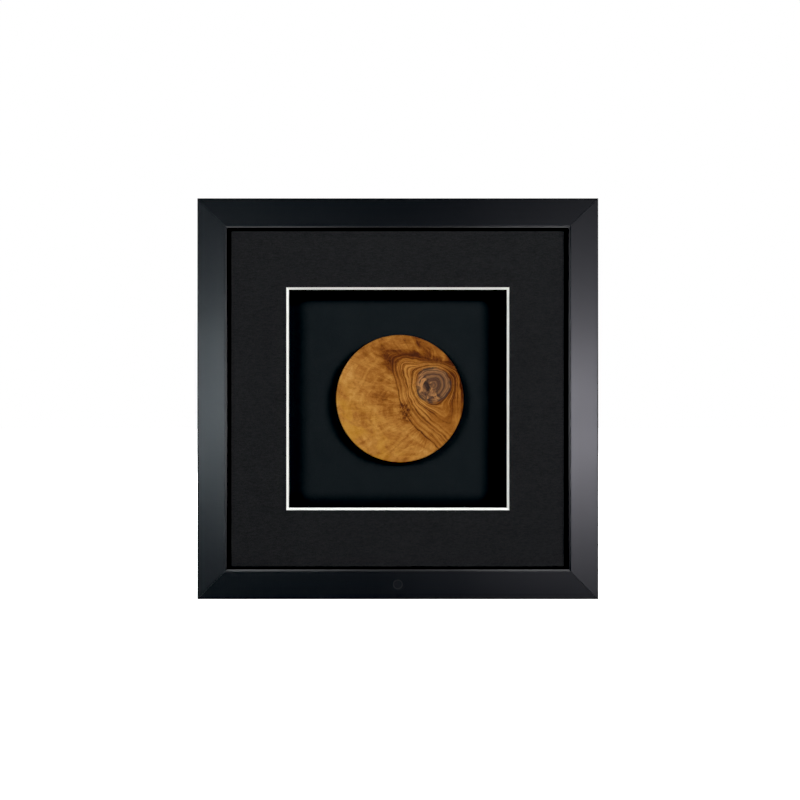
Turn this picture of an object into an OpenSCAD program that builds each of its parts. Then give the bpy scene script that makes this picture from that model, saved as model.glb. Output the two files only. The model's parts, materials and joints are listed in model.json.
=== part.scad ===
// Coin display frame: a deep square box frame with a glazed front, a bevelled window mat
// and a round wooden medallion that stands off a black display board.
// +X is right and +Z is up for someone in front of the frame, and +Y runs from the front to the back.
// The origin is under the middle of the frame, at the height of the surface that it stands on.

/* [Frame] */
// Width over the rails
frame_w = 250; // [200:1:400]
// Height over the rails
frame_h = 250; // [200:1:400]
// Depth of the rails, from the front edge to the back face
rail_depth = 41; // [34:0.5:60]
// Width of a rail's face
rail_face = 18.5; // [15.5:0.5:30]
// Thickness of the rail's outer wall, beside the rebate
wall_t = 10; // [8:0.5:14]
// Thickness of the lip that holds the glazing
lip_t = 4; // [3:0.1:6]
// How far the face falls back from its inner edge to its outer edge
face_fall = 0.4; // [0:0.1:1]
// Chamfer on the inner edge of the face
lip_chamfer = 1; // [0.5:0.1:2]
// Radius on the outer front edge
outer_round = 0.8; // [0.3:0.1:1.5]
// Gap between the rebate and everything that lies in it
rebate_gap = 0.5; // [0.2:0.1:1.5]
// Diameter of the plain round dimple on the bottom rail
dimple_d = 5.6; // [3:0.2:8]
// Depth of the dimple
dimple_depth = 0.25; // [0.1:0.05:0.4]

/* [Corner nails] */
// Length of each leg of a corner nail
nail_leg = 5; // [3:0.5:7]
// Thickness of a corner nail
nail_t = 0.5; // [0.3:0.1:0.8]
// Length of a corner nail, along the frame's depth
nail_h = 10; // [7:1:12]
// Corner nails driven in behind each other at a corner
nails_deep = 2; // [1:1:3]
// Gap between two nails behind each other
nail_gap = 0.6; // [0.2:0.1:1]

/* [Glazing and mat] */
// Thickness of the glazing pane
glass_t = 2; // [1.5:0.1:3]
// Thickness of the whole mat
mat_t = 1.6; // [1.3:0.1:3]
// Thickness of the mat's black face paper
mat_paper_t = 0.15; // [0.1:0.05:0.3]
// Width and height of the mat's window, at its face
window = 140; // [110:1:165]

/* [Box] */
// Thickness of the spacer strips, across the frame
spacer_t = 6; // [4:0.5:10]
// Thickness of the display board
board_t = 3; // [2:0.5:5]
// Thickness of the filler board
filler_t = 5; // [3:0.5:8]
// Thickness of the back panel
panel_t = 3; // [2.5:0.1:5]

/* [Medallion] */
// Diameter of the medallion
medallion_d = 81; // [50:0.5:100]
// Thickness of the medallion
medallion_t = 8; // [4:0.5:12]
// Radius on the medallion's front edge
medallion_round = 0.6; // [0.2:0.1:1.5]
// How far the medallion sits to the right of the window's centre
medallion_shift = 1.2; // [-3:0.1:3]
// Side of an adhesive square
tape_side = 14; // [8:1:20]
// Thickness of an adhesive square
tape_t = 2; // [1:0.5:3]
// Distance of the adhesive squares from the medallion's centre, along X and Z
tape_reach = 17; // [12:1:20]

/* [Turn buttons] */
// Overall length of a turn button
button_l = 24; // [19:0.5:30]
// Width of a turn button
button_w = 8; // [6:0.5:10]
// Thickness of a turn button
button_t = 1; // [0.8:0.1:1.5]
// Distance of a turn button from the middle of its rail
button_offset = 60; // [40:1:80]
// Gap on each side of a turn button, along its screw
button_play = 0.1; // [0.05:0.05:0.2]

/* [Screws] */
// Radius of a screw's shank
screw_r = 1.5; // [1.2:0.1:2]
// Radius of a screw's head
screw_head_r = 3; // [2.4:0.1:3.5]
// Height of a screw's head
screw_head_h = 1.7; // [1.2:0.1:2.2]
// Length of a screw's shank in the rail
screw_l = 10; // [7:0.5:14]
// Length of a screw's point
screw_tip_l = 3; // [2:0.5:5]
// Height of a screw head's straight edge, under its crown
screw_edge_h = 0.8; // [0.4:0.1:1.1]
// Length of a slot of the cross recess
recess_l = 3.3; // [2.4:0.1:4.4]
// Width of a slot of the cross recess
recess_w = 0.7; // [0.5:0.1:1]
// Depth of the cross recess
recess_depth = 1; // [0.6:0.1:1.1]
// Gap around a screw's shank in its turn button
screw_gap = 0.1; // [0.05:0.05:0.2]

/* [Hanger] */
// Distance of the hanger's barrel from the top of the frame
hanger_drop = 31; // [28:1:60]
// Width of the hanger's plate and barrel
hanger_w = 10; // [8:0.5:14]
// Length of the plate below the barrel
hanger_l = 9.5; // [8:0.5:12]
// Thickness of the hanger's sheet metal
hanger_t = 0.8; // [0.6:0.1:1]
// Radius of the ring's wire
wire_r = 0.9; // [0.7:0.1:1.1]
// Gap around the ring's wire in the barrel
wire_gap = 0.1; // [0.05:0.05:0.2]
// Half the width of the ring, at the middle of its wire
ring_half_w = 8.5; // [8:0.5:12]
// Length of the ring's straight sides
ring_side = 8; // [7:0.5:14]
// Radius of the ring's two corners, at the middle of its wire
ring_corner = 2.2; // [2:0.1:3]
// Radius of the rivet's shank
rivet_r = 1.5; // [1:0.1:2]
// Radius of the rivet's two heads
rivet_head_r = 2.8; // [2.2:0.1:3.5]
// Thickness of each of the rivet's heads
rivet_head_t = 1.1; // [0.8:0.1:1.5]
// Gap around the rivet's front head in the filler board
rivet_gap = 0.4; // [0.2:0.1:1]

/* [Wall bumpers] */
// Diameter of a bumper where it is stuck on
bumper_d = 9; // [6:0.5:12]
// Diameter of a bumper's flat end
bumper_end_d = 7.6; // [5:0.2:10]
// Height of a bumper
bumper_h = 4; // [4:0.1:6]
// Distance of a bumper's centre from the side of the frame
bumper_inset = 22; // [16:1:40]
// Distance of a bumper's edge from the top or bottom of the frame
bumper_edge = 0.5; // [0:0.1:2]

/* [Hidden] */
$fn = 64;
ARC = 6;          // steps in a small round of an outline
CROWN = 6;        // steps in the crown of a screw's head
BEYOND = 1;       // how far a cutter runs past what it cuts

front_y = -(rail_depth + bumper_h) / 2;   // the front edge of the rails
mid_z = frame_h / 2;
insert_w = frame_w - 2 * (wall_t + rebate_gap);
insert_h = frame_h - 2 * (wall_t + rebate_gap);

// Depths of the stack in the rebate, from the front edge of the rails
glass_at = lip_t;
mat_at = glass_at + glass_t;
spacer_at = mat_at + mat_t;
panel_at = rail_depth - panel_t;
filler_at = panel_at - filler_t;
board_at = filler_at - board_t;
spacer_d = board_at - spacer_at;
medallion_back = board_at - tape_t;

nail_apex = (wall_t - nail_leg) / 2;      // from the two outer edges of a corner
nail_pitch = nail_h + nail_gap;
nails_at = rail_depth - nails_deep * nail_pitch + nail_gap;

button_pivot = wall_t / 2;                // from the outer edge of a rail
button_hole_r = screw_r + screw_gap;
button_reach = button_l - button_w / 2;   // from the pivot to the tip

barrel_r = wire_r + wire_gap;
barrel_out_r = barrel_r + hanger_t;
barrel_z = frame_h - hanger_drop;
rivet_drop = barrel_out_r + (hanger_l - barrel_out_r) / 2;   // from the barrel's axis

// One side of the frame after the other: a child drawn on the bottom rail is moved to that side
module on_bottom() children();
module on_top() translate([0, 0, frame_h]) rotate([0, 180, 0]) children();
module on_left() translate([-frame_w / 2, 0, mid_z]) rotate([0, 90, 0]) children();
module on_right() translate([frame_w / 2, 0, mid_z]) rotate([0, -90, 0]) children();

// A flat outline drawn in X and Z, made t thick from a depth behind the front edge of the rails
module slab(depth, t) {
    translate([0, front_y + depth + t, 0])
        rotate([90, 0, 0])
            linear_extrude(t) children();
}

// A round bar along Y, from a depth behind the front edge of the rails
module pin(depth, length, r) {
    translate([0, front_y + depth, 0])
        rotate([-90, 0, 0])
            cylinder(h = length, r = r);
}

// ---- Rails ----

// Points of a quarter circle about c, from angle a0 to a1
function arc(c, r, a0, a1) = [
    for (i = [0:ARC]) c + r * [cos(a0 + (a1 - a0) * i / ARC), sin(a0 + (a1 - a0) * i / ARC)]
];

// Section of a rail: depth from the front edge, then width from the outer edge
function rail_section() = concat(
    [[rail_depth, wall_t], [rail_depth, 0]],
    arc([face_fall + outer_round, outer_round], outer_round, 270, 180),
    [
        [0, rail_face - lip_chamfer],
        [lip_chamfer, rail_face],
        [lip_t, rail_face],
        [lip_t, wall_t]
    ]
);

// Corner nails seen from the front at the lower left corner: a V that points outwards on the mitre
module corner_nail_outline() {
    for (turn = [0, 1])
        mirror([turn, -turn])
            translate([nail_apex, nail_apex])
                square([nail_leg, nail_t]);
}

module nail_slots(length) {
    for (side = [0, 1])
        mirror([side, 0, 0])
            slab(nails_at, rail_depth - nails_at + BEYOND)
                translate([-length / 2, 0])
                    corner_nail_outline();
}

module screw_pilots() {
    for (side = [-1, 1])
        translate([side * button_offset, 0, button_pivot])
            pin(rail_depth - screw_l, screw_l + BEYOND, screw_r);
}

module rail(length) {
    color([0.07, 0.08, 0.09])
    difference() {
        intersection() {
            translate([-length / 2, front_y, 0])
                rotate([90, 0, 90])
                    linear_extrude(length) polygon(rail_section());
            slab(-BEYOND, rail_depth + 2 * BEYOND)
                polygon([
                    [-length / 2, 0], [length / 2, 0],
                    [length / 2 - rail_face, rail_face], [-length / 2 + rail_face, rail_face]
                ]);
        }
        nail_slots(length);
        screw_pilots();
    }
}

module rail_top() on_top() rail(frame_w);
module rail_left() on_left() rail(frame_h);
module rail_right() on_right() rail(frame_h);

module rail_bottom() {
    difference() {
        rail(frame_w);
        translate([0, 0, rail_face / 2])
            pin(-BEYOND, BEYOND + face_fall / 2 + dimple_depth, dimple_d / 2);
    }
}

module corner_nails() {
    color("silver")
    for (top = [0, 1], side = [0, 1], i = [0:nails_deep - 1])
        translate([0, 0, top * frame_h])
            mirror([0, 0, top])
                mirror([side, 0, 0])
                    slab(nails_at + i * nail_pitch, nail_h)
                        translate([-frame_w / 2, 0])
                            corner_nail_outline();
}

// ---- Glazing and mat ----

module insert_outline() {
    translate([-insert_w / 2, mid_z - insert_h / 2])
        square([insert_w, insert_h]);
}

module glazing_pane() {
    color([0.85, 0.9, 0.92, 0.35])
        slab(glass_at, glass_t) insert_outline();
}

// The hole that a 45 degree knife leaves through the whole mat, a little longer at each face
module window_cut() {
    near = window / 2 + BEYOND;
    far = window / 2 - mat_t - BEYOND;
    section = [[-near, 0], [near, 0], [far, mat_t + 2 * BEYOND], [-far, mat_t + 2 * BEYOND]];
    translate([0, front_y + mat_at - BEYOND, mid_z])
        intersection() {
            translate([0, 0, -window])
                linear_extrude(2 * window) polygon(section);
            rotate([0, 90, 0])
                translate([0, 0, -window])
                    linear_extrude(2 * window) polygon(section);
        }
}

module mat_layer(depth, t) {
    difference() {
        slab(depth, t) insert_outline();
        window_cut();
    }
}

module mat_face_paper() color([0.11, 0.11, 0.12]) mat_layer(mat_at, mat_paper_t);
module mat_core() color([0.93, 0.93, 0.9]) mat_layer(mat_at + mat_paper_t, mat_t - mat_paper_t);

// ---- Spacers ----

module spacer_level(z) {
    color([0.05, 0.05, 0.05])
        slab(spacer_at, spacer_d)
            translate([-insert_w / 2, z])
                square([insert_w, spacer_t]);
}

module spacer_upright(x) {
    color([0.05, 0.05, 0.05])
        slab(spacer_at, spacer_d)
            translate([x, mid_z - insert_h / 2 + spacer_t])
                square([spacer_t, insert_h - 2 * spacer_t]);
}

module spacer_top() spacer_level(mid_z + insert_h / 2 - spacer_t);
module spacer_bottom() spacer_level(mid_z - insert_h / 2);
module spacer_left() spacer_upright(-insert_w / 2);
module spacer_right() spacer_upright(insert_w / 2 - spacer_t);

// ---- Display board and medallion ----

module display_board() {
    color([0.07, 0.09, 0.1])
        slab(board_at, board_t) insert_outline();
}

// Turned disc with a softened front edge
module wood_medallion() {
    r = medallion_d / 2;
    color([0.68, 0.44, 0.16])
        translate([medallion_shift, front_y + medallion_back, mid_z])
            rotate([90, 0, 0])
                rotate_extrude($fn = 128)
                    polygon(concat(
                        [[0, 0], [r, 0]],
                        arc([r - medallion_round, medallion_t - medallion_round], medallion_round, 0, 90),
                        [[0, medallion_t]]
                    ));
}

module adhesive_squares() {
    color([0.9, 0.9, 0.86])
    for (x = [-1, 1], z = [-1, 1])
        slab(medallion_back, tape_t)
            translate([medallion_shift + x * tape_reach, mid_z + z * tape_reach])
                square(tape_side, center = true);
}

// ---- Back ----

module filler_board() {
    color([0.75, 0.74, 0.7])
    difference() {
        slab(filler_at, filler_t) insert_outline();
        translate([0, 0, barrel_z - rivet_drop])
            pin(panel_at - rivet_head_t - rivet_gap, rivet_head_t + rivet_gap + BEYOND, rivet_head_r + rivet_gap);
    }
}

module back_panel() {
    color([0.45, 0.33, 0.22])
    difference() {
        slab(panel_at, panel_t) insert_outline();
        translate([0, 0, barrel_z - rivet_drop])
            pin(panel_at - BEYOND, panel_t + 2 * BEYOND, rivet_r);
    }
}

// ---- Turn buttons ----

// Flat plate with round ends, which turns about its screw at one end and reaches over the back panel
module turn_button(x) {
    color([0.75, 0.76, 0.78])
        slab(rail_depth + button_play, button_t)
            translate([x, button_pivot])
                difference() {
                    union() {
                        circle(d = button_w);
                        translate([0, button_reach - button_w / 2]) circle(d = button_w);
                        translate([-button_w / 2, 0]) square([button_w, button_reach - button_w / 2]);
                    }
                    circle(r = button_hole_r);
                }
}

module turn_button_top_left() on_top() turn_button(button_offset);
module turn_button_top_right() on_top() turn_button(-button_offset);
module turn_button_bottom_left() on_bottom() turn_button(-button_offset);
module turn_button_bottom_right() on_bottom() turn_button(button_offset);
module turn_button_left_upper() on_left() turn_button(-button_offset);
module turn_button_left_lower() on_left() turn_button(button_offset);
module turn_button_right_upper() on_right() turn_button(button_offset);
module turn_button_right_lower() on_right() turn_button(-button_offset);

// Pan head with a cross recess, over a shank with a pointed end
module screw(x) {
    head_at = rail_depth + button_t + 2 * button_play;
    end_at = rail_depth - screw_l - head_at;
    crown_h = screw_head_h - screw_edge_h;
    crown = [
        for (i = [0:CROWN])
            [screw_head_r * cos(90 * i / CROWN), screw_edge_h + crown_h * sin(90 * i / CROWN)]
    ];
    translate([x, front_y + head_at, button_pivot])
        rotate([-90, 0, 0])
            difference() {
                rotate_extrude()
                    polygon(concat(
                        [[0, end_at], [screw_r, end_at + screw_tip_l], [screw_r, 0], [screw_head_r, 0]],
                        crown
                    ));
                for (turn = [0, 90])
                    rotate([0, 0, turn])
                        translate([-recess_l / 2, -recess_w / 2, screw_head_h - recess_depth])
                            cube([recess_l, recess_w, recess_depth + BEYOND]);
            }
}

module turn_button_screws() {
    color([0.8, 0.8, 0.82])
    for (side = [-1, 1]) {
        on_top() screw(side * button_offset);
        on_bottom() screw(side * button_offset);
        on_left() screw(side * button_offset);
        on_right() screw(side * button_offset);
    }
}

// ---- Hanger ----

// Everything of the hanger is drawn about the barrel's axis, which lies along X behind the back panel
module at_barrel() {
    translate([0, front_y + rail_depth + barrel_out_r, barrel_z]) children();
}

module along_x(length, r) {
    translate([-length / 2, 0, 0]) rotate([0, 90, 0]) cylinder(h = length, r = r);
}

module hanger_plate() {
    color([0.78, 0.7, 0.42])
    difference() {
        at_barrel()
            union() {
                along_x(hanger_w, barrel_out_r);
                translate([-hanger_w / 2, -barrel_out_r, -hanger_l])
                    cube([hanger_w, hanger_t, hanger_l]);
            }
        at_barrel() along_x(hanger_w + 2 * BEYOND, barrel_r);
        translate([0, 0, barrel_z - rivet_drop])
            pin(rail_depth - BEYOND, hanger_t + 2 * BEYOND, rivet_r);
    }
}

module hanger_rivet() {
    color([0.8, 0.8, 0.82])
    translate([0, 0, barrel_z - rivet_drop])
        union() {
            pin(panel_at - rivet_head_t, rivet_head_t, rivet_head_r);
            pin(panel_at - rivet_head_t / 2, rivet_head_t + panel_t + hanger_t, rivet_r);
            pin(rail_depth + hanger_t, rivet_head_t, rivet_head_r);
        }
}

// D ring that hangs down: its straight top runs through the barrel
module hanger_ring() {
    bar_half = ring_half_w - ring_corner;
    color([0.8, 0.8, 0.82])
    at_barrel()
        union() {
            along_x(2 * bar_half, wire_r);
            for (side = [0, 1])
                mirror([side, 0, 0]) {
                    translate([bar_half, 0, -ring_corner])
                        rotate([90, 0, 0])
                            rotate_extrude(angle = 90)
                                translate([ring_corner, 0]) circle(r = wire_r);
                    translate([ring_half_w, 0, -ring_side])
                        cylinder(h = ring_side - ring_corner, r = wire_r);
                }
            translate([0, 0, -ring_side])
                rotate([-90, 0, 0])
                    rotate_extrude(angle = 180)
                        translate([ring_half_w, 0]) circle(r = wire_r);
        }
}

// ---- Wall bumpers ----

module wall_bumpers() {
    z_in = bumper_edge + bumper_d / 2;
    color([0.06, 0.06, 0.06])
    for (x = [-1, 1], z = [z_in, frame_h - z_in])
        translate([x * (frame_w / 2 - bumper_inset), front_y + rail_depth, z])
            rotate([-90, 0, 0])
                cylinder(h = bumper_h, d1 = bumper_d, d2 = bumper_end_d);
}

rail_top();
rail_bottom();
rail_left();
rail_right();
corner_nails();
glazing_pane();
mat_face_paper();
mat_core();
spacer_top();
spacer_bottom();
spacer_left();
spacer_right();
display_board();
wood_medallion();
adhesive_squares();
filler_board();
back_panel();
turn_button_top_left();
turn_button_top_right();
turn_button_bottom_left();
turn_button_bottom_right();
turn_button_left_upper();
turn_button_left_lower();
turn_button_right_upper();
turn_button_right_lower();
turn_button_screws();
hanger_plate();
hanger_rivet();
hanger_ring();
wall_bumpers();
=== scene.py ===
import json
import math
import bmesh
import bpy
from mathutils import Matrix, Vector


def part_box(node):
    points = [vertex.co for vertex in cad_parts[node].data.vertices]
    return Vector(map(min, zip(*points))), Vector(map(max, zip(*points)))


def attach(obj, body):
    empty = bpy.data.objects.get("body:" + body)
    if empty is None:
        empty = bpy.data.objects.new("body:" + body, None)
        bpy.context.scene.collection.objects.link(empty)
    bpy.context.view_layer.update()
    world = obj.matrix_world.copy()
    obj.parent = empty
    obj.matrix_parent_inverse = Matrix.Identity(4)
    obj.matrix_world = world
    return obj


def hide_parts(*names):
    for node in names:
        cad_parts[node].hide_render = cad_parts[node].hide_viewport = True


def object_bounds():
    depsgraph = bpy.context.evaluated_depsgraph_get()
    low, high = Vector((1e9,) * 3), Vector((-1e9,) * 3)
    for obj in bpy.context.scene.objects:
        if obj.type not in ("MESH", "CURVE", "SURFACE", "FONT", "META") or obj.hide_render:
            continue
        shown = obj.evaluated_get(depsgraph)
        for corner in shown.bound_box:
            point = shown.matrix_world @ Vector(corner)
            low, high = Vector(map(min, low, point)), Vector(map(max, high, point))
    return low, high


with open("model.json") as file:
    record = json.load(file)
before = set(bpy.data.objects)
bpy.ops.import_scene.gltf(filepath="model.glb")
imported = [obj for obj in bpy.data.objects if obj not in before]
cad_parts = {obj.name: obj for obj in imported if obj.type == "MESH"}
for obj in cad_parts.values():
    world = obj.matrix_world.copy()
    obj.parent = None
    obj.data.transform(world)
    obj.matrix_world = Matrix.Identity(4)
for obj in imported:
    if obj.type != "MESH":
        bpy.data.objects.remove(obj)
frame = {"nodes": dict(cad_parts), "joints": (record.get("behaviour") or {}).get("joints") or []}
cadLow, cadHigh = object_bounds()
mm = 0.001

# the case as the fixed frame gives it, in metres
baseRailLow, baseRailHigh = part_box("rail_bottom")
discLow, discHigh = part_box("wood_medallion")
caseWidth = baseRailHigh.x - baseRailLow.x
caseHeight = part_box("rail_top")[1].z
frontY, rearY = baseRailLow.y, baseRailHigh.y
railFace = baseRailHigh.z
middle = Vector((0, (frontY + rearY) / 2, caseHeight / 2))
halfCase = caseWidth / 2 / mm    # in millimetres, as the finishes use it
discRadius = (discHigh.x - discLow.x) / 2
discCentre = (discLow + discHigh) / 2


# a socket that takes part in expressions
class Wire:
    def __init__(self, finish, socket):
        self.finish = finish
        self.socket = socket

    def calc(self, operation, first, second):
        return self.finish.calc(operation, first, second)

    def __add__(self, other):
        return self.calc("ADD", self, other)

    def __radd__(self, other):
        return self.calc("ADD", other, self)

    def __sub__(self, other):
        return self.calc("SUBTRACT", self, other)

    def __rsub__(self, other):
        return self.calc("SUBTRACT", other, self)

    def __mul__(self, other):
        return self.calc("MULTIPLY", self, other)

    def __rmul__(self, other):
        return self.calc("MULTIPLY", other, self)

    def __truediv__(self, other):
        return self.calc("DIVIDE", self, other)

    def __pow__(self, other):
        return self.calc("POWER", self, other)


# one material's nodes, and one way to add any of them
class Finish:
    def __init__(self, name):
        self.material = bpy.data.materials.new(name)
        self.material.use_nodes = True
        self.tree = self.material.node_tree
        self.tree.nodes.clear()

    def add(self, kind, settings=None, sockets=None, output=0):
        node = self.tree.nodes.new(kind)
        for key, value in (settings or {}).items():
            if key == "stops":
                self.setStops(node.color_ramp, value)
            else:
                setattr(node, key, value)
        for key, value in (sockets or {}).items():
            if isinstance(value, Wire):
                self.tree.links.new(value.socket, node.inputs[key])
            else:
                node.inputs[key].default_value = value
        return Wire(self, node.outputs[output]) if len(node.outputs) else None

    def calc(self, operation, first, second=0.0):
        return self.add("ShaderNodeMath", {"operation": operation}, {0: first, 1: second})

    def setStops(self, ramp, stops):
        while len(ramp.elements) < len(stops):
            ramp.elements.new(1.0)
        for element, (position, colour) in zip(ramp.elements, stops):
            element.position = position
            element.color = (*colour, 1)

    # object coordinates about a centre, in units of a size, turned by angles
    def place(self, centre=(0, 0, 0), size=(mm, mm, mm), turn=(0, 0, 0)):
        at = self.add("ShaderNodeTexCoord", output="Object")
        sockets = {"Vector": at, "Location": centre, "Rotation": turn, "Scale": size}
        return self.add("ShaderNodeMapping", {"vector_type": "TEXTURE"}, sockets)

    def vector(self, x, z):
        return self.add("ShaderNodeCombineXYZ", sockets={0: x, 2: z})

    def split(self, vector):
        node = self.add("ShaderNodeSeparateXYZ", sockets={0: vector}).socket.node
        return [Wire(self, output) for output in node.outputs]

    def noise(self, at, scale, detail=3.0, roughness=0.5, distortion=0.0, output=0):
        sockets = {"Vector": at, "Scale": scale, "Detail": detail, "Roughness": roughness}
        sockets["Distortion"] = distortion
        return self.add("ShaderNodeTexNoise", {"noise_dimensions": "3D"}, sockets, output)

    def noiseAlong(self, value, scale, detail=3.0, roughness=0.5):
        sockets = {"W": value, "Scale": scale, "Detail": detail, "Roughness": roughness}
        return self.add("ShaderNodeTexNoise", {"noise_dimensions": "1D"}, sockets)

    # 0 up to low, 1 from high on, eased between
    def ease(self, value, low, high):
        sockets = {0: value, 1: low, 2: high, 3: 0.0, 4: 1.0}
        return self.add("ShaderNodeMapRange", {"interpolation_type": "SMOOTHSTEP"}, sockets)

    def largest(self, first, second, blend=0.0):
        if blend:
            sockets = {0: first, 1: second, 2: blend}
            return self.add("ShaderNodeMath", {"operation": "SMOOTH_MAX"}, sockets)
        return self.calc("MAXIMUM", first, second)

    def absolute(self, value):
        return self.calc("ABSOLUTE", value)

    # how far a point is from the origin, from its two distances
    def length(self, across, up):
        return self.calc("SQRT", across * across + up * up)

    def limit(self, value):
        return self.add("ShaderNodeClamp", sockets={0: value})

    def mix(self, factor, first, second):
        colours = {}
        for key, colour in ((6, first), (7, second)):
            colours[key] = colour if isinstance(colour, Wire) else (*colour, 1)
        return self.add("ShaderNodeMix", {"data_type": "RGBA"}, {0: factor, **colours}, 2)

    def ramp(self, factor, stops):
        return self.add("ShaderNodeValToRGB", {"stops": stops}, {0: factor})

    def bump(self, height, depth, strength=1.0):
        sockets = {"Height": height, "Distance": depth, "Strength": strength}
        return self.add("ShaderNodeBump", sockets=sockets)

    def surface(self, **sockets):
        named = {}
        for key, value in sockets.items():
            words = "".join(" " + letter if letter.isupper() else letter for letter in key)
            name = words.strip().title().replace("Ior", "IOR")
            named[name] = (*value, 1) if isinstance(value, tuple) else value
        return self.done(self.add("ShaderNodeBsdfPrincipled", sockets=named))

    def done(self, shader):
        self.add("ShaderNodeOutputMaterial", sockets={"Surface": shader})
        return self.material


lacquer = {
    "colour": (0.0034, 0.0040, 0.0047),
    "paintedLipSheenAndRimRing": (0.088, 0.090, 0.093),    # painted highlight on the lip's chamfer, and the lighter ring round the dimple
    "paintedSheenAcross": (1.05, 0.80),       # mm from the rail's inner side: where the painted highlight begins, and is full
    "paintedSheenDeep": (1.5, 1.8),           # mm behind the face: where it fades, and is gone
    "paintedSheenLength": (5, 110),           # mm from the middle of a rail: where the painted highlight changes from and to
    "dimpleRim": 2.75,                  # mm from the dimple's middle
    "dimpleRimLighter": 0.20,
    "roughness": 0.29,
    "sideRougher": 0.26,
    "rawWood": ((0.40, 0.27, 0.15), (0.56, 0.41, 0.25)),
    "rawPores": (0.20, 0.12, 0.06),
    "rawFrom": (0.25, 0.12),            # mm in front of the back: where the black ends, and wood is bare
    "overspray": (0.3, 1.4),            # mm of black that runs over onto the raw back, at least and at most
}


# black on the face and sides, raw wood on the back, with the grain along the rail
def blackLacquer(name, upright):
    finish = Finish(name)
    at = finish.place(centre=middle)
    x, y, z = finish.split(at)
    fine = finish.noise(at, 1.3, 4, 0.6)
    cloud = finish.noise(at, 0.035, 3)

    # the raw wood
    long, short = 30 * mm, 0.8 * mm
    grainAt = finish.place(size=(short, short, long) if upright else (long, short, short))
    grain = finish.noise(grainAt, 1.0, 5, 0.6, 0.3)
    pores = finish.ease(finish.noise(grainAt, 3.0, 2, 0.5), 0.60, 0.72)
    raw = finish.mix(grain, *lacquer["rawWood"])
    raw = finish.mix(pores * 0.6, raw, lacquer["rawPores"])

    # where it is bare
    outward = finish.largest(finish.absolute(x), finish.absolute(z))
    inward = halfCase - outward
    rear = (rearY - middle.y) / mm
    isBack = finish.ease(y + (fine - 0.5) * 0.15, *(rear - deep for deep in lacquer["rawFrom"]))
    bare = isBack * finish.ease(inward + (fine - 0.5) * 1.6, *lacquer["overspray"])

    # painted highlight along the lip, where the chamfer catches the light: stronger in the middle of the
    # upright rails and at the ends of the level ones, as the sheen falls; and a lighter ring round the dimple
    face = (frontY - middle.y) / mm
    lipAt = [railFace / mm - off for off in lacquer["paintedSheenAcross"]]
    paintedLipSheen = finish.ease(inward + (fine - 0.5) * 0.3, *lipAt)
    paintedLipSheen = paintedLipSheen * (1 - finish.ease(y, *(face + deep for deep in lacquer["paintedSheenDeep"])))
    along = finish.ease(finish.absolute(z if upright else x), *lacquer["paintedSheenLength"])
    lipSheenStrength = 0.85 - along * 0.65 if upright else 0.36 + along * 0.64
    dimpleZ = z - (railFace / 2 - middle.z) / mm
    # a lighter ring round the dimple's rim
    offRim = finish.absolute(finish.length(x, dimpleZ) - lacquer["dimpleRim"])
    onRim = (1 - finish.ease(offRim, 0.15, 0.45)) * lacquer["dimpleRimLighter"]
    paintedLipSheenAndRimRing = paintedLipSheen * lipSheenStrength * (0.7 + cloud * 0.6) + onRim

    # the black with the painted lip highlight and the dimple's lighter ring over it
    colour = finish.mix(bare, finish.mix(paintedLipSheenAndRimRing, lacquer["colour"], lacquer["paintedLipSheenAndRimRing"]), raw)
    onSide = finish.ease(outward, halfCase - 0.15, halfCase - 0.04)
    roughness = lacquer["roughness"] + (cloud - 0.5) * 0.03 + (fine - 0.5) * 0.02
    roughness = roughness + bare * 0.55 + onSide * (1 - bare) * lacquer["sideRougher"]
    normal = finish.bump((fine - 0.5) * (1 - bare) * 0.12 + grain * bare, 0.02 * mm, 0.6)
    return finish.surface(baseColor=colour, roughness=roughness, normal=normal, ior=1.5)


glazing = {"leastShine": 0.006, "edgeShine": 0.55, "roughness": 0.03, "tint": (0.985, 0.992, 0.99)}


# low-glare pane: clear from the front, shiny at a slant
def clearGlazing():
    finish = Finish("lowGlareGlazing")
    slant = finish.add("ShaderNodeLayerWeight", sockets={"Blend": 0.5}, output="Facing")
    shine = glazing["leastShine"] + slant ** 5 * glazing["edgeShine"]
    through = finish.add("ShaderNodeBsdfTransparent", sockets={"Color": (*glazing["tint"], 1)})
    shiny = {"Color": (1, 1, 1, 1), "Roughness": glazing["roughness"]}
    gloss = finish.add("ShaderNodeBsdfGlossy", sockets=shiny)
    return finish.done(finish.add("ShaderNodeMixShader", sockets={0: shine, 1: through, 2: gloss}))


matBoard = {
    "face": ((0.0125, 0.0125, 0.0135), (0.0205, 0.0205, 0.0215)),
    "fleck": (0.040, 0.040, 0.041),
    "core": ((0.80, 0.80, 0.765), (0.89, 0.89, 0.86)),
    "paintedShade": (1.9, 0.7),    # mm in from the lip: where the painted shadow of the lip begins on the paper, and where it is black
    "paintedShadeSideReach": 0.7,       # mm that the painted shadow reaches further in at the sides
}


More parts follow.
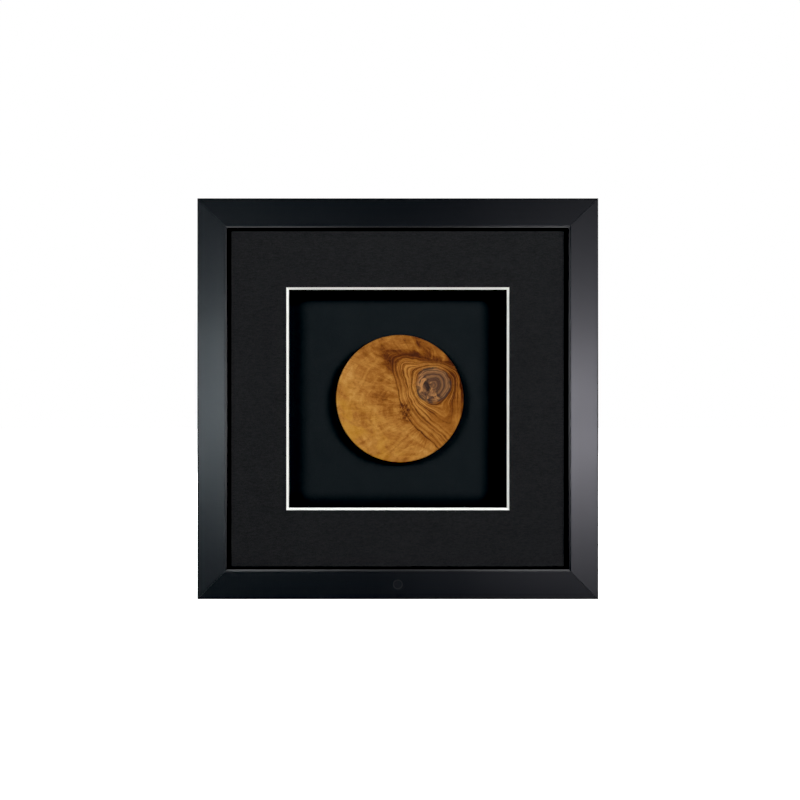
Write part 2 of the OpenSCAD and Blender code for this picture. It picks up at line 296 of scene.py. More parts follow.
def matFacePaper():
    finish = Finish("blackMatPaper")
    at = finish.place(centre=middle)
    pulp = finish.noise(at, 1.7, 5, 0.7)
    weave = finish.noise(finish.place(centre=middle, size=(3 * mm, mm, 0.7 * mm)), 1.2, 3, 0.6)
    tooth = pulp * 0.6 + weave * 0.4
    fleck = finish.ease(finish.noise(at, 2.6, 2, 0.5), 0.66, 0.78)
    colour = finish.mix(finish.ease(tooth, 0.35, 0.65), *matBoard["face"])
    colour = finish.mix(fleck * 0.5, colour, matBoard["fleck"])
    x, y, z = finish.split(at)
    # painted shadow of the lip: the paper goes black near the sight edge, a little further in at the sides
    outward = finish.largest(finish.absolute(x) + matBoard["paintedShadeSideReach"], finish.absolute(z))
    sight = halfCase - railFace / mm
    paintedShade = finish.ease(outward, *(sight - inside for inside in matBoard["paintedShade"]))
    colour = finish.mix(paintedShade * 0.95, colour, (0, 0, 0))
    normal = finish.bump(tooth, 0.06 * mm, 0.6)
    return finish.surface(baseColor=colour, roughness=0.88, normal=normal, specularIorLevel=0.2)


def matCoreBoard():
    finish = Finish("whiteMatCore")
    at = finish.place(centre=middle)
    plies = finish.noise(finish.place(size=(6 * mm, 0.35 * mm, 6 * mm)), 1.0, 4, 0.6)
    fibre = finish.noise(at, 3.0, 4, 0.6)
    colour = finish.mix(plies * 0.5 + fibre * 0.5, *matBoard["core"])
    return finish.surface(baseColor=colour, roughness=0.9, normal=finish.bump(fibre, 0.03 * mm, 0.5))


# the size of the mottling and its depth are in millimetres
dullBoards = {
    "displayBoard": {
        "dark": (0.0106, 0.0122, 0.0136), "light": (0.0162, 0.0186, 0.0204), "size": 1.0, "depth": 0.05,
        "paintedShade": (58.5, 67.5),    # mm above and below the middle: painted shadow of the mat, darker towards the top and bottom
    },
    "spacerBoard": {
        "dark": (0.008, 0.008, 0.009), "light": (0.014, 0.014, 0.015), "size": 1.6, "depth": 0.05,
    },
    "fillerBoard": {"dark": (0.36, 0.33, 0.28), "light": (0.52, 0.49, 0.43), "size": 2.5, "depth": 0.04},
    "adhesiveFoam": {"dark": (0.62, 0.62, 0.58), "light": (0.82, 0.82, 0.78), "size": 0.5, "depth": 0.10},
}


# matte board or foam, mottled at a few sizes
def dullBoard(name):
    board = dullBoards[name]
    finish = Finish(name)
    at = finish.place(centre=middle, size=(board["size"] * mm,) * 3)
    fine = finish.noise(at, 1.6, 5, 0.7)
    cloud = finish.noise(at, 0.09, 3)
    tone = finish.limit(finish.ease(fine, 0.3, 0.7) * 0.75 + cloud * 0.25)
    colour = finish.mix(tone, board["dark"], board["light"])
    # painted shadow of the mat: the board darker towards its top and bottom
    if "paintedShade" in board:
        height = finish.absolute(finish.split(finish.place(centre=middle))[2])
        colour = finish.mix(finish.ease(height, *board["paintedShade"]) * 0.5, colour, (0, 0, 0))
    normal = finish.bump(fine, board["depth"] * mm, 0.6)
    return finish.surface(baseColor=colour, roughness=0.9, normal=normal, specularIorLevel=0.2)


hardboard = {"dark": (0.15, 0.075, 0.032), "light": (0.29, 0.165, 0.078), "fibre": (0.40, 0.26, 0.14)}


def backHardboard():
    finish = Finish("brownHardboard")
    at = finish.place(centre=middle)
    cloud = finish.noise(at, 0.05, 4, 0.6)
    pulp = finish.noise(at, 1.1, 5, 0.65)
    tone = finish.ease(cloud, 0.3, 0.7) * 0.45 + pulp * 0.55
    hairSize = (3.5 * mm, mm, 0.5 * mm)
    hairsAt = [finish.place(size=hairSize, turn=(0, turn, 0)) for turn in (0.5, -0.7)]
    hairs = [finish.noise(hair, 1.0, 3, 0.5, 1.2) for hair in hairsAt]
    fibres = finish.ease(finish.largest(*hairs), 0.62, 0.74)
    colour = finish.mix(tone, hardboard["dark"], hardboard["light"])
    colour = finish.mix(fibres * 0.45, colour, hardboard["fibre"])
    normal = finish.bump(pulp, 0.04 * mm, 0.5)
    return finish.surface(baseColor=colour, roughness=0.42 + pulp * 0.2, normal=normal)


metals = {
    "zincPlate": {
        "colour": (0.60, 0.61, 0.63), "tint": (0.66, 0.63, 0.54),
        "dull": (0.34, 0.35, 0.37), "roughness": 0.30,
    },
    "brassPlate": {
        "colour": (0.78, 0.57, 0.25), "tint": (0.70, 0.44, 0.18),
        "dull": (0.36, 0.24, 0.11), "roughness": 0.28,
    },
    "nailSteel": {
        "colour": (0.50, 0.50, 0.51), "tint": (0.46, 0.42, 0.37),
        "dull": (0.22, 0.19, 0.17), "roughness": 0.36,
    },
}


# plated sheet and wire: cloudy tint, small dull specks and hair-thin rubbing marks
def platedMetal(name):
    metal = metals[name]
    finish = Finish(name)
    at = finish.place(centre=middle)
    cloud = finish.ease(finish.noise(at, 0.22, 3), 0.35, 0.70)
    specks = finish.ease(finish.noise(at, 2.4, 3, 0.6), 0.60, 0.74)
    rubs = finish.noise(finish.place(size=(0.25 * mm, 0.25 * mm, 7 * mm), turn=(0, 0.6, 0)), 1.0, 3, 0.6)
    colour = finish.mix(cloud * 0.6, metal["colour"], metal["tint"])
    colour = finish.mix(specks * 0.35, colour, metal["dull"])
    roughness = metal["roughness"] + cloud * 0.08 + specks * 0.14 + (rubs - 0.5) * 0.12
    normal = finish.bump(rubs * 0.5 + specks * 0.5, 0.012 * mm, 0.5)
    return finish.surface(baseColor=colour, metallic=1.0, roughness=roughness, normal=normal)


rubber = {"black": (0.014, 0.014, 0.014), "dusty": (0.040, 0.039, 0.037)}


def bumperRubber():
    finish = Finish("bumperRubber")
    at = finish.place(centre=middle)
    grain = finish.noise(at, 3.2, 3, 0.6)
    dust = finish.ease(finish.noise(at, 0.5, 4, 0.6), 0.45, 0.75)
    colour = finish.mix(dust * 0.5, rubber["black"], rubber["dusty"])
    normal = finish.bump(grain, 0.03 * mm, 0.5)
    return finish.surface(baseColor=colour, roughness=0.6 + dust * 0.2, normal=normal)


oliveWood = {
    "tones": [
        (0.00, (0.045, 0.014, 0.009)), (0.20, (0.114, 0.033, 0.010)), (0.40, (0.198, 0.067, 0.014)),
        (0.60, (0.275, 0.109, 0.023)), (0.80, (0.350, 0.156, 0.037)), (1.00, (0.430, 0.212, 0.058)),
    ],
    "knotTones": [
        (0.00, (0.026, 0.018, 0.016)), (0.30, (0.072, 0.037, 0.025)), (0.55, (0.135, 0.063, 0.032)),
        (0.78, (0.235, 0.112, 0.048)), (1.00, (0.330, 0.155, 0.060)),
    ],
    "yellow": (0.345, 0.158, 0.012),
    "tornLight": (0.370, 0.165, 0.055),
    "blueBlack": (0.030, 0.025, 0.024),
    # places and sizes are in disc radii, from the disc's centre
    "knot": (0.53, 0.215),
    "knotSize": 0.27,
    "corner": (0.09, -0.20),    # of the brown band, where it is cracked
    "heartEdge": 0.64,          # how far from the knot the brown band lies
    "squareness": 4.5,          # of the grain at the band: 2 is round
    "raysFrom": (0.64, -0.08),
}


# figured wood: flames on the left, and on the right grain that runs down past a knot and turns away under it
def oiledOliveWood():
    wood = oliveWood
    finish = Finish("oiledOliveWood")
    size = (discRadius,) * 3
    at = finish.place(centre=discCentre, size=size)
    sway = finish.split(finish.noise(at, 2.3, 2, 0.5, output="Color"))
    quiver = finish.split(finish.noise(at, 9.0, 3, 0.55, output="Color"))
    x, y, z = finish.split(at)
    x = x + (sway[0] - 0.5) * 0.09 + (quiver[0] - 0.5) * 0.035
    z = z + (sway[1] - 0.5) * 0.09 + (quiver[1] - 0.5) * 0.035
    knotX = x - wood["knot"][0]
    knotZ = z - wood["knot"][1]
    around = finish.length(knotX, knotZ)

    # distance from the knot: even close to it, squared off with a round corner further out
    left = finish.largest(knotX * -1.10 + knotZ * -0.30, knotX * -0.66 + knotZ * -0.69, 0.12)
    above = finish.largest(knotX * 0.30 + knotZ * 1.60, 0.0)
    left = finish.largest(left, 0.0)
    power = wood["squareness"]
    squared = (left ** power + above ** power) ** (1 / power)
    squared = finish.largest(squared, knotX * 1.05, 0.30)
    beyond = squared - wood["heartEdge"]
    heart = 1 - finish.ease(beyond, -0.04, 0.05)
    rings = around * 0.62 + (squared - around * 0.62) * finish.ease(around, 0.25, 0.42)

    # flames: soft patches, rays that fan out from a place beyond the cracked corner, ripples and fine pores
    flameSize = (discRadius * 0.60, discRadius, discRadius)
    flameAt = finish.place(centre=discCentre, size=flameSize, turn=(0, -0.95, 0))
    flame = finish.noise(flameAt, 3.6, 3, 0.58, 0.9)
    cornerX = x - wood["corner"][0]
    cornerZ = z - wood["corner"][1]
    reach = finish.length(cornerX, cornerZ)
    bearing = finish.calc("ARCTAN2", z - wood["raysFrom"][1], wood["raysFrom"][0] - x)
    rays = finish.noise(finish.vector(bearing * 17.0, reach * 3.2), 1.0, 4, 0.62, 0.8)
    ripple = finish.noise(finish.vector(bearing * 5.0, reach * 12.0), 1.0, 4, 0.6, 0.8)
    fleck = finish.noise(at, 24.0, 4, 0.7)
    lowerLeft = finish.ease(x * -0.75 + z * -0.66, 0.25, 0.90)
    topShade = finish.ease(z + x * 0.25, 0.40, 0.85)
    middleShade = finish.ease(x, -0.85, -0.1) * finish.ease(z, -0.55, 0.1)
    flames = 0.68 + lowerLeft * 0.06 - topShade * 0.11 - middleShade * 0.13
    flames = flames + (flame - 0.5) * 0.85 + (ripple - 0.5) * 0.9 + (rays - 0.5) * 1.0

    # growth lines round the knot, of changing strength
    lines = finish.noiseAlong(rings + sway[2] * 0.05, 17.0, 3, 0.6)
    fineLines = finish.noiseAlong(rings + quiver[2] * 0.012, 52.0, 3, 0.6)
    patch = finish.noise(at, 3.6, 3, 0.6)
    strength = finish.ease(patch, 0.30, 0.62)
    faint = finish.ease(knotX * 0.75 + knotZ * -0.66, 0.22, 0.42) * finish.ease(knotZ * -1.0, 0.15, 0.35)
    faint = faint * (1 - finish.ease(left, 0.34, 0.52))
    grown = (lines - 0.5) * 2.7 + (fineLines - 0.5) * (0.55 + strength * 0.80)
    grown = 0.51 + grown * (1 - faint * 0.72) + (patch - 0.5) * 0.9 + faint * 0.05
    grown = grown - finish.ease(lines, 0.60, 0.72) * strength * 0.18
    tone = flames + (grown - flames) * heart

    # brown band where the two meet: broad and soft over the top, broken at its lowest corner, faint below
    overTop = finish.ease(knotZ * 1.2 + knotX * -0.12, 0.20, 0.50)
    fade = 1 - finish.ease(beyond, -0.02, 0.19)
    rise = finish.ease(beyond, -0.16, -0.02)
    bandLines = 0.34 + (fineLines - 0.5) * 0.9 + (patch - 0.5) * 0.3
    tone = tone - rise * fade * overTop * bandLines * 1.22
    corner = 1 - finish.ease(cornerX * cornerX * 2.6 + cornerZ * cornerZ, 0.003, 0.045)
    broken = finish.ease(finish.noise(at, 13.0, 4, 0.72), 0.42, 0.58)
    tone = tone - corner * broken * 0.62
    seam = 1 - finish.ease(finish.absolute(beyond), 0.004, 0.030)
    tone = tone - seam * (1 - overTop) * 0.20 * strength
    rightShade = finish.ease(x, 0.66, 0.84) * finish.ease(z, -0.35, 0.0)
    tone = tone + (fleck - 0.5) * 0.42 - rightShade * 0.38
    colour = finish.ramp(tone, wood["tones"])
    colour = finish.mix(lowerLeft * finish.ease(flame, 0.35, 0.65) * 0.50, colour, wood["yellow"])

    # the knot: greyish wood in close rings, darker in the middle, torn on its lower left, its edge blue-black
    edgeAt = around + (quiver[2] - 0.5) * 0.05
    inside = 1 - finish.ease(edgeAt, wood["knotSize"] - 0.03, wood["knotSize"] + 0.015)
    knotRings = finish.noiseAlong(around + (quiver[1] - 0.5) * 0.02, 30.0, 3, 0.6)
    core = 1 - finish.ease(finish.length(knotX - 0.01, knotZ), 0.03, 0.20)
    tornSize = (discRadius * 0.7, discRadius, discRadius)
    tornAt = finish.place(centre=discCentre, size=tornSize, turn=(0, 0.5, 0))
    torn = finish.noise(tornAt, 6.5, 4, 0.6, 1.2)
    tornHalf = finish.ease(knotX * -1.0 + knotZ * -0.8, -0.04, 0.10)
    knotTone = 0.56 + (knotRings - 0.5) * 2.6 * (1 - tornHalf * 0.6) - core * 0.22
    knotTone = knotTone + (torn - 0.5) * tornHalf * 5.0 + tornHalf * 0.12
    colour = finish.mix(inside, colour, finish.ramp(knotTone, wood["knotTones"]))
    orange = inside * tornHalf * finish.ease(torn, 0.52, 0.66)
    colour = finish.mix(orange * 0.75, colour, wood["tornLight"])
    offEdge = finish.absolute(edgeAt - wood["knotSize"])
    edge = 1 - finish.ease(offEdge, 0.003, 0.030)
    edgeShare = edge * finish.ease(finish.noise(at, 4.2, 3, 0.7), 0.38, 0.58)
    colour = finish.mix(edgeShare * 0.85, colour, wood["blueBlack"])

    gloss = 0.46 - (fleck - 0.5) * 0.12
    normal = finish.bump(fineLines * heart * 0.4 + fleck * 0.4 + ripple * 0.3, 0.02 * mm, 0.4)
    return finish.surface(baseColor=colour, roughness=gloss, normal=normal, specularIorLevel=0.28)


print("finishes are ready to mix")


def near(first, second):
    return abs(first - second) < 1e-6


def vertsIn(parts):
    return [part for part in parts if isinstance(part, bmesh.types.BMVert)]


def edgesIn(parts):
    return [part for part in parts if isinstance(part, bmesh.types.BMEdge)]


def looseObject(shape, name="loose"):
    mesh = bpy.data.meshes.new(name)
    shape.to_mesh(mesh)
    shape.free()
    loose = bpy.data.objects.new(name, mesh)
    bpy.context.scene.collection.objects.link(loose)
    return loose


# cuts the other shapes out of the first one
def carve(shape, *cutters):
    body = looseObject(shape)
    tools = [looseObject(cutter) for cutter in cutters]
    for tool in tools:
        cut = body.modifiers.new("carve", "BOOLEAN")
        cut.operation = "DIFFERENCE"
        cut.solver = "EXACT"
        cut.object = tool
    bpy.context.view_layer.update()
    result = bmesh.new()
    result.from_object(body, bpy.context.evaluated_depsgraph_get())
    for loose in [body, *tools]:
        bpy.data.objects.remove(loose)
    return result


def joinShapes(shapes):
    joined = bmesh.new()
    for shape in shapes:
        mesh = bpy.data.meshes.new("joined")
        shape.to_mesh(mesh)
        shape.free()
        joined.from_mesh(mesh)
        bpy.data.meshes.remove(mesh)
    return joined


def turnAbout(shape, centre, angle, axis="Y"):
    bmesh.ops.rotate(shape, verts=shape.verts, cent=centre, matrix=Matrix.Rotation(angle, 3, axis))
    return shape


def bevelEdges(shape, edges, offset, segments):
    bmesh.ops.bevel(shape, geom=edges, affect="EDGES", offset=offset, offset_type="OFFSET",
                    segments=segments, profile=0.5, material=-1, clamp_overlap=True)


# rounds every edge whose faces meet at more than the angle
def softenEdges(shape, offset, segments=2, angle=30):
    sharp = [edge for edge in shape.edges if len(edge.link_faces) == 2
             and edge.calc_face_angle(0) > math.radians(angle)]
    bevelEdges(shape, sharp, offset, segments)


# pushes a flat face out into a solid
def pushOut(shape, faces, by):
    grown = bmesh.ops.extrude_face_region(shape, geom=faces)["geom"]
    bmesh.ops.translate(shape, verts=vertsIn(grown), vec=by)


# a solid turned on a lathe from points of (radius, height along Y)
def turned(points, segments, centre):
    shape = bmesh.new()
    verts = [shape.verts.new((radius, height, 0)) for radius, height in points]
    edges = [shape.edges.new(pair) for pair in zip(verts, verts[1:])]
    bmesh.ops.spin(shape, geom=verts + edges, cent=(0, 0, 0), axis=(0, 1, 0), angle=2 * math.pi,
                   steps=segments, use_merge=True, use_duplicate=False)
    bmesh.ops.remove_doubles(shape, verts=shape.verts, dist=1e-6)
    bmesh.ops.translate(shape, verts=shape.verts, vec=centre)
    bmesh.ops.recalc_face_normals(shape, faces=shape.faces)
    return shape


# smooth faces with sharp edges, a finish, a body, a slot and the parts the piece stands for
def finishPiece(name, shape, material, stands, body="case", sharpAngle=32):
    bmesh.ops.remove_doubles(shape, verts=shape.verts, dist=1e-6)
    bmesh.ops.recalc_face_normals(shape, faces=shape.faces)
    for face in shape.faces:
        face.smooth = True
    piece = looseObject(shape, name)
    piece.data.set_sharp_from_angle(angle=math.radians(sharpAngle))
    piece.data.materials.append(material)
    flatten = piece.modifiers.new("flatFaces", "WEIGHTED_NORMAL")
    flatten.keep_sharp = True
    flatten.weight = 100
    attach(piece, body)
    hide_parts(*stands)
    return piece


moulding = {
    "faceFall": 0.4 * mm,     # the face drops this far to the outer edge
    "outerRound": 0.8 * mm,
    "lip": 4 * mm,            # thickness over the glazing
    "lipChamfer": 1 * mm,
    "wall": 10 * mm,
    "lipRound": 0.5 * mm,     # softens the front edge of the lip's chamfer
    "softEdge": 0.10 * mm,
    "dimple": 2.8 * mm,       # radius of the pressed mark on the bottom rail
    "dimpleFloor": 0.86,      # its flat floor and its mouth, as shares of the radius
    "dimpleMouth": 1.02,
    "dimpleDeep": 0.25 * mm,
    "dimpleSegments": 40,
}
fixings = {
    "nailApex": 2.5 * mm,          # from the case's corner
    "nailLeg": 5 * mm,
    "nailThick": 0.5 * mm,
    "buttonOffset": 60 * mm,       # from the middle of a rail
    "screwFromEdge": 5 * mm,
    "screwDeep": 10 * mm,
    "screwRadius": 1.5 * mm,
    "screwSegments": 24,
}


# the two corner slots and two screw holes at the bottom of the case
def bottomCutters():
    cutters = []
    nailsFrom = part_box("corner_nails")[0].y
    leg, thick, apex = fixings["nailLeg"], fixings["nailThick"], fixings["nailApex"]
    for side in (-1, 1):
        slot = bmesh.new()
        outline = [(0, 0), (leg, 0), (leg, thick), (thick, thick), (thick, leg), (0, leg)]
        corner = side * (caseWidth / 2 - apex)
        verts = [slot.verts.new((corner - side * x, nailsFrom, apex + z)) for x, z in outline]
        pushOut(slot, [slot.faces.new(verts)], (0, rearY - nailsFrom + mm, 0))
        bmesh.ops.recalc_face_normals(slot, faces=slot.faces)
        cutters.append(slot)
        at = (side * fixings["buttonOffset"], 0, fixings["screwFromEdge"])
        radius, deep = fixings["screwRadius"], rearY - fixings["screwDeep"]
        hole = [(0, deep), (radius, deep), (radius, rearY + mm), (0, rearY + mm)]
        cutters.append(turned(hole, fixings["screwSegments"], at))
    return cutters


# a mitred length of moulding along the bottom of the case, turned to its side
def moulded(turn):
    depth = rearY - frontY
    fall, lip, chamfer, wall = (moulding[key] for key in ("faceFall", "lip", "lipChamfer", "wall"))
    section = [(depth, 0), (fall, 0), (0, railFace - chamfer), (chamfer, railFace),
               (lip, railFace), (lip, wall), (depth, wall)]
    shape = bmesh.new()
    verts = [shape.verts.new((-caseWidth / 2, frontY + deep, wide)) for deep, wide in section]
    pushOut(shape, [shape.faces.new(verts)], (caseWidth, 0, 0))
    for side in (-1, 1):
        cut = bmesh.ops.bisect_plane(shape, geom=shape.verts[:] + shape.edges[:] + shape.faces[:],
                                     dist=1e-7, plane_co=(side * caseWidth / 2, 0, 0),
                                     plane_no=(side, 0, 1), clear_outer=True)
        bmesh.ops.holes_fill(shape, edges=edgesIn(cut["geom_cut"]), sides=0)
    bmesh.ops.recalc_face_normals(shape, faces=shape.faces)

    # the long edges at a depth and a width of the section
    def edgesAt(deep, wide):
        return [edge for edge in shape.edges if edge.calc_length() > 4 * railFace
                and all(near(v.co.y, frontY + deep) and near(v.co.z, wide) for v in edge.verts)]

    bevelEdges(shape, edgesAt(fall, 0), moulding["outerRound"], 6)
    bevelEdges(shape, edgesAt(0, railFace - chamfer), moulding["lipRound"], 5)
    softenEdges(shape, moulding["softEdge"])
    shape = carve(shape, *bottomCutters())
    if turn == 0:
        at = (0, 0, railFace / 2)
        face = frontY + fall / 2
        deep = face + moulding["dimpleDeep"]
        radius = moulding["dimple"]
        bottom, mouth = radius * moulding["dimpleFloor"], radius * moulding["dimpleMouth"]
        dish = [(0, deep), (bottom, deep), (radius, face), (mouth, face - mm), (0, face - mm)]
        shape = carve(shape, turned(dish, moulding["dimpleSegments"], at))
    shape = turnAbout(shape, middle, turn)
    # the turn leaves points a fraction of a micrometre past the case
    for vertex in shape.verts:
        vertex.co.x = min(max(vertex.co.x, cadLow.x), cadHigh.x)
        vertex.co.z = min(max(vertex.co.z, cadLow.z), cadHigh.z)
    return shape


railTurns = {"bottom": 0, "left": math.pi / 2, "top": math.pi, "right": -math.pi / 2}
uprightLacquer = blackLacquer("blackLacquerUpright", True)
levelLacquer = blackLacquer("blackLacquerLevel", False)
for side, turn in railTurns.items():
    lacquered = uprightLacquer if side in ("left", "right") else levelLacquer
    finishPiece("moulding_" + side, moulded(turn), lacquered, ["rail_" + side])
print("four mitred mouldings")

medallion = {"edgeRound": 0.6 * mm, "backRound": 0.25 * mm, "segments": 160}


def turnedDisc():
    shape = bmesh.new()
    bmesh.ops.create_circle(shape, cap_ends=True, segments=medallion["segments"], radius=discRadius)
    bmesh.ops.rotate(shape, verts=shape.verts, cent=(0, 0, 0), matrix=Matrix.Rotation(math.pi / 2, 3, "X"))
    bmesh.ops.translate(shape, verts=shape.verts, vec=(discCentre.x, discLow.y, discCentre.z))
    pushOut(shape, shape.faces[:], (0, discHigh.y - discLow.y, 0))
    bmesh.ops.recalc_face_normals(shape, faces=shape.faces)
    rounds = ((discLow.y, medallion["edgeRound"], 5), (discHigh.y, medallion["backRound"], 2))
    for level, offset, segments in rounds:
        rim = [edge for edge in shape.edges if all(near(v.co.y, level) for v in edge.verts)]
        bevelEdges(shape, rim, offset, segments)
    return shape


finishPiece("medallion_disc", turnedDisc(), oiledOliveWood(), ["wood_medallion"])
print("olive wood medallion")

turnButton = {"endSegments": 12, "edgeRound": 0.22 * mm, "holeRadius": 1.6 * mm, "holeSegments": 32}


# a flat stamped plate with round ends, and its hole at the joint
def stampedButton(node, pivot):
    low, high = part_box(node)
    width = min(high.x - low.x, high.z - low.z)
    shape = bmesh.new()
    bmesh.ops.create_cube(shape, size=1.0)
    bmesh.ops.scale(shape, verts=shape.verts, vec=high - low)
    bmesh.ops.translate(shape, verts=shape.verts, vec=(low + high) / 2)
    through = [edge for edge in shape.edges if not near(edge.verts[0].co.y, edge.verts[1].co.y)]
    bevelEdges(shape, through, width / 2 - 1e-6, turnButton["endSegments"])
    bmesh.ops.remove_doubles(shape, verts=shape.verts, dist=1e-5)
    softenEdges(shape, turnButton["edgeRound"], 3, 40)
    radius = turnButton["holeRadius"]
    wide = radius + turnButton["edgeRound"]
    hole = [(0, low.y - mm), (wide, low.y - mm), (wide, low.y), (radius, low.y + wide - radius),
            (radius, high.y - wide + radius), (wide, high.y), (wide, high.y + mm), (0, high.y + mm)]
    return carve(shape, turned(hole, turnButton["holeSegments"], (pivot[0], 0, pivot[2])))


zinc = platedMetal("zincPlate")
brass = platedMetal("brassPlate")
for hinge in frame["joints"]:
    node = hinge["child"]
    if node.startswith("turn_button"):
        shape = stampedButton(node, hinge["pos_m"])
        finishPiece(node.replace("turn_button", "stamped_button"), shape, zinc, [node], node)

screw = {
    "gap": 0.1 * mm,            # between the head and its button
    "shank": 1.5 * mm,
    "tip": (0.18 * mm, 0.15 * mm),             # its radius and its height
    "point": 3 * mm,
    "head": 3 * mm,
    "headEdge": 0.8 * mm,       # height of the head's straight edge
    "headRound": 0.12 * mm,
    "crownSteps": 7,
    "recessTop": (1.65 * mm, 0.36 * mm),       # half length and half width
    "recessBottom": (1.05 * mm, 0.22 * mm),
    "recessDeep": 1.0 * mm,
    "segments": 32,
    "turns": (0.7, 1.9),        # of the first head, and from each head to the next, in radians
}


# a pan head with a tapered cross recess on a pointed shank, its axis on the Y axis
def panHeadScrew(spin):
    low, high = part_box("turn_button_screws")
    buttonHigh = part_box("turn_button_top_left")[1].y
    under = buttonHigh + screw["gap"]
    edgeTop = under + screw["headEdge"]
    shank, head, soft = screw["shank"], screw["head"], screw["headRound"]
    tip, tipHeight = screw["tip"]
    points = [(0, low.y), (tip, low.y + tipHeight), (shank, low.y + screw["point"]), (shank, under)]
    points += [(head - soft, under), (head, under + soft)]
    for step in range(screw["crownSteps"] + 1):
        angle = step / screw["crownSteps"] * math.pi / 2
        points.append((head * math.cos(angle), edgeTop + (high.y - edgeTop) * math.sin(angle)))
    points[-1] = (0, high.y)
    shape = turned(points, screw["segments"], (0, 0, 0))
    wings = []
    for turn in (0, math.pi / 2):
        wing = bmesh.new()
        bmesh.ops.create_cube(wing, size=2.0)
        for vert in wing.verts:
            top = vert.co.y > 0
            halfLong, halfWide = screw["recessTop"] if top else screw["recessBottom"]
            vert.co.x *= halfLong
            vert.co.z *= halfWide
            vert.co.y = high.y + 0.01 * mm if top else high.y - screw["recessDeep"]
        wings.append(turnAbout(wing, (0, 0, 0), turn))
    return turnAbout(carve(shape, *wings), (0, 0, 0), spin)


heads = []
for number, hinge in enumerate(frame["joints"]):
    if hinge["child"].startswith("turn_button"):
        shape = panHeadScrew(screw["turns"][0] + number * screw["turns"][1])
        bmesh.ops.translate(shape, verts=shape.verts, vec=(hinge["pos_m"][0], 0, hinge["pos_m"][2]))
        heads.append(shape)
finishPiece("pan_head_screws", joinShapes(heads), zinc, ["turn_button_screws"])
print("turn buttons and their screws")

hanger = {
    "sheet": 0.8 * mm,
    "barrel": 1.8 * mm,        # outer radius of the rolled barrel
    "barrelSteps": 24,
    "barrelTurn": 300,         # degrees that the sheet is rolled round, until its end meets the plate
    "corner": 2.2 * mm,        # of the plate's lower corners
    "edgeRound": 0.12 * mm,
    "rivetHole": 1.5 * mm,
    "rivetHead": 2.8 * mm,
    "rivetThick": 1.1 * mm,
    "rivetSides": (0.3 * mm, 0.25 * mm),    # height of the lower head's chamfer, and of the dome's edge
    "domeSteps": 7,
    "wire": 0.9 * mm,
    "wireSides": 14,
    "ringCorner": 2.2 * mm,
    "ringSteps": (8, 30),      # round a corner, and round the bottom
}


# sheet metal rolled into a barrel round the ring, with its end flat on the back panel
def rolledPlate():
    low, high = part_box("hanger_plate")
    axis = Vector((0, low.y + hanger["barrel"], high.z - hanger["barrel"]))
    shape = bmesh.new()
    bottom = shape.verts.new((low.x, low.y, low.z))
    top = shape.verts.new((low.x, low.y, axis.z))
    shape.edges.new((bottom, top))
    bmesh.ops.spin(shape, geom=[top], cent=axis, axis=(-1, 0, 0),
                   angle=math.radians(hanger["barrelTurn"]), steps=hanger["barrelSteps"],
                   use_merge=False, use_duplicate=False)
    grown = bmesh.ops.extrude_edge_only(shape, edges=shape.edges[:])["geom"]
    bmesh.ops.translate(shape, verts=vertsIn(grown), vec=(high.x - low.x, 0, 0))
    corners = [vert for vert in shape.verts if near(vert.co.z, low.z)]
    bmesh.ops.bevel(shape, geom=corners, affect="VERTICES", offset=hanger["corner"],
                    offset_type="OFFSET", segments=6, profile=0.5, material=-1)

    # the sheet grows away from its normals, so they face out of the barrel
    bmesh.ops.recalc_face_normals(shape, faces=shape.faces)
    largest = max(shape.faces, key=lambda face: face.calc_area())
    if largest.normal.y > 0:
        bmesh.ops.reverse_faces(shape, faces=shape.faces)
    bmesh.ops.solidify(shape, geom=shape.faces[:], thickness=hanger["sheet"])
    bmesh.ops.recalc_face_normals(shape, faces=shape.faces)
    softenEdges(shape, hanger["edgeRound"], 2, 50)
    rivetLow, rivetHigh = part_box("hanger_rivet")
    radius = hanger["rivetHole"]
    under, over = low.y - mm, low.y + 2 * hanger["sheet"]
    hole = [(0, under), (radius, under), (radius, over), (0, over)]
    return carve(shape, turned(hole, 28, (0, 0, (rivetLow.z + rivetHigh.z) / 2)))


def domedRivet():
    low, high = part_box("hanger_rivet")
    thick, head, shank = hanger["rivetThick"], hanger["rivetHead"], hanger["rivetHole"]
    chamfer, domeEdge = hanger["rivetSides"]
    points = [(0, low.y), (head - chamfer, low.y), (head, low.y + chamfer)]
    points += [(head, low.y + thick), (shank, low.y + thick), (shank, high.y - thick), (head, high.y - thick)]
    steps, dome = hanger["domeSteps"], thick - domeEdge
    for step in range(steps):
        angle = step / steps * math.pi / 2
        points.append((head * math.cos(angle), high.y - dome * (1 - math.sin(angle))))
    points.append((0, high.y))
    return turned(points, 36, (0, 0, (low.z + high.z) / 2))


